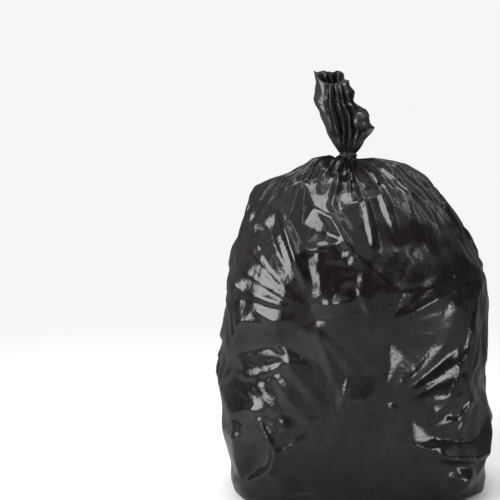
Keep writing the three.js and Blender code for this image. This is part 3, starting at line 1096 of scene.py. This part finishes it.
# floor, light and camera
studio = {
    "floor": 0.86,
    "floorMirrored": 0.40,  # how pale the film sees it in front of the bag
    "floorBehind": 0.14,  # and behind the bag
    "behindFrom": -0.2,  # one turns into the other between these distances back
    "behindFull": 0.8,
    "paperFrom": 0.7,  # the floor turns into the backdrop between these distances
    "paperFull": 3.4,
    "frontWall": 0.60,  # the foot of the walls round the bag
    "sideWall": 0.08,
    "backWall": 0.16,
    "darkBand": 0.04,  # the unlit room in front, between the walls' foot and the ceiling
    "leftBand": 0.34,  # the same at the left
    "rightBand": 0.14,  # and at the right
    "backBand": 0.16,  # and behind
    "ceiling": 0.74,
    "backdrop": 0.92,
    "overhead": 1.5,
    "lens": 85,
    "distance": 2.83,
    "elevation": 6.0,
    "aimZ": 0.569,
    "shiftX": -0.212,
}
# soft lights: where each stands, what it points at, width, height and power
softboxes = {
    "left_box": ((-2.45, -1.70, 1.45), (0, 0, 0.5), 2.8, 1.5, 140),
    "right_box": ((2.25, -2.0, 0.23), (0, 0, 0.28), 1.7, 0.44, 26.6),
    "left_strip": ((-1.0, -1.3, 2.3), (0, 0, 0.6), 0.25, 1.4, 5),
    "right_strip": ((1.0, -1.1, 2.6), (0, 0, 0.6), 0.25, 1.4, 5),
    "far_strip": ((1.0, -0.2, 2.7), (0, 0, 0.6), 0.25, 1.4, 5),
}
# where one wall or band turns into the next: how much of a direction points right, back or up
turns = {
    "frontWall": (-0.35, -0.9),
    "backWall": (0.35, 0.9),
    "leftBand": (-0.5, -0.9),
    "rightBand": (0.5, 0.9),
    "backBand": (0.2, 0.8),
    "wallTop": (0.06, 0.18),
    "ceiling": (0.45, 0.80),
}


def makeFloor():
    # pale paper that runs on into the backdrop without an edge
    mesh = bpy.data.meshes.new("floor")
    mesh.from_pydata([(-12, -12, 0), (12, -12, 0), (12, 12, 0), (-12, 12, 0)], [], [(0, 1, 2, 3)])
    piece = bpy.data.objects.new("floor", mesh)
    bpy.context.scene.collection.objects.link(piece)
    f = Finish("floor_paper")
    place = f.node("TexCoord", output=3)
    away = f.node("VectorMath", {"operation": "LENGTH"}, {0: place}, 1)
    far = f.risen(away, studio["paperFrom"], studio["paperFull"])
    seen = f.node("LightPath", {}, {}, "Is Camera Ray")
    back = f.node("SeparateXYZ", {}, {"Vector": place}, 1)
    behind = f.risen(back, studio["behindFrom"], studio["behindFull"])
    pale = studio["floor"]
    grey = studio["floorMirrored"] + (studio["floorBehind"] - studio["floorMirrored"]) * behind
    shade = grey + (pale - grey) * seen
    colour = f.node("CombineColor", {}, {"Red": shade, "Green": shade, "Blue": shade})
    f.surface(Base_Color=colour, Roughness=0.6)
    paper = f.node("Emission", {}, {"Strength": studio["backdrop"]})
    both = f.node("MixShader", {}, {0: far * seen, 1: Wire(f.tree, f.shader.outputs[0]), 2: paper})
    f.plug(f.tree.nodes["Material Output"].inputs["Surface"], both)
    mesh.materials.append(f.material)


makeFloor()


def softbox(name, place, aim, wide, tall, power):
    data = bpy.data.lights.new(name, "AREA")
    data.shape = "RECTANGLE"
    data.size = wide
    data.size_y = tall
    data.energy = power
    lamp = bpy.data.objects.new(name, data)
    bpy.context.scene.collection.objects.link(lamp)
    lamp.location = place
    lamp.rotation_euler = (Vector(aim) - Vector(place)).to_track_quat("-Z", "Y").to_euler()


for name, values in softboxes.items():
    softbox(name, *values)
sky = bpy.data.objects.new("overhead", bpy.data.lights.new("overhead", "SUN"))  # a wide soft ceiling light
sky.data.energy = studio["overhead"]
sky.data.angle = math.radians(32)
sky.rotation_euler = (math.radians(-12), 0, 0)
bpy.context.scene.collection.objects.link(sky)

world = bpy.data.worlds.new("studio")
bpy.context.scene.world = world
world.use_nodes = True
room = NodeWriter(world.node_tree)
way = room.node("TexCoord", output=0)
across, deep, height = [room.node("SeparateXYZ", {}, {"Vector": way}, k) for k in (0, 1, 2)]
wall = studio["sideWall"] + (studio["frontWall"] - studio["sideWall"]) * room.risen(deep, *turns["frontWall"])
wall = wall + (studio["backWall"] - studio["sideWall"]) * room.risen(deep, *turns["backWall"])
dark = studio["darkBand"] + (studio["leftBand"] - studio["darkBand"]) * room.risen(across, *turns["leftBand"])
dark = dark + (studio["rightBand"] - studio["darkBand"]) * room.risen(across, *turns["rightBand"])
dark = dark + (studio["backBand"] - dark) * room.risen(deep, *turns["backBand"])
glow = wall + (dark - wall) * room.risen(height, *turns["wallTop"])
glow = glow + (studio["ceiling"] - dark) * room.risen(height, *turns["ceiling"])
white = (1, 1, 1, 1)
# the film mirrors the walls, and the paper is what stands behind the bag
walls = room.node("Background", {}, {"Color": white, "Strength": glow})
paper = room.node("Background", {}, {"Color": white, "Strength": studio["backdrop"]})
seen = room.node("LightPath", {}, {}, "Is Camera Ray")
both = room.node("MixShader", {}, {0: seen, 1: walls, 2: paper})
room.plug(world.node_tree.nodes["World Output"].inputs["Surface"], both)

camera = bpy.data.objects.new("camera", bpy.data.cameras.new("camera"))
bpy.context.scene.collection.objects.link(camera)
camera.data.lens = studio["lens"]
camera.data.shift_x = studio["shiftX"]
lift = math.radians(studio["elevation"])
aim = Vector((0, 0, studio["aimZ"]))
away = Vector((0, -math.cos(lift), math.sin(lift))) * studio["distance"]
camera.location = aim + away
camera.rotation_euler = (-away).to_track_quat("-Z", "Y").to_euler()
bpy.context.scene.camera = camera
bpy.context.scene.view_settings.view_transform = "Standard"
print("camera and light")
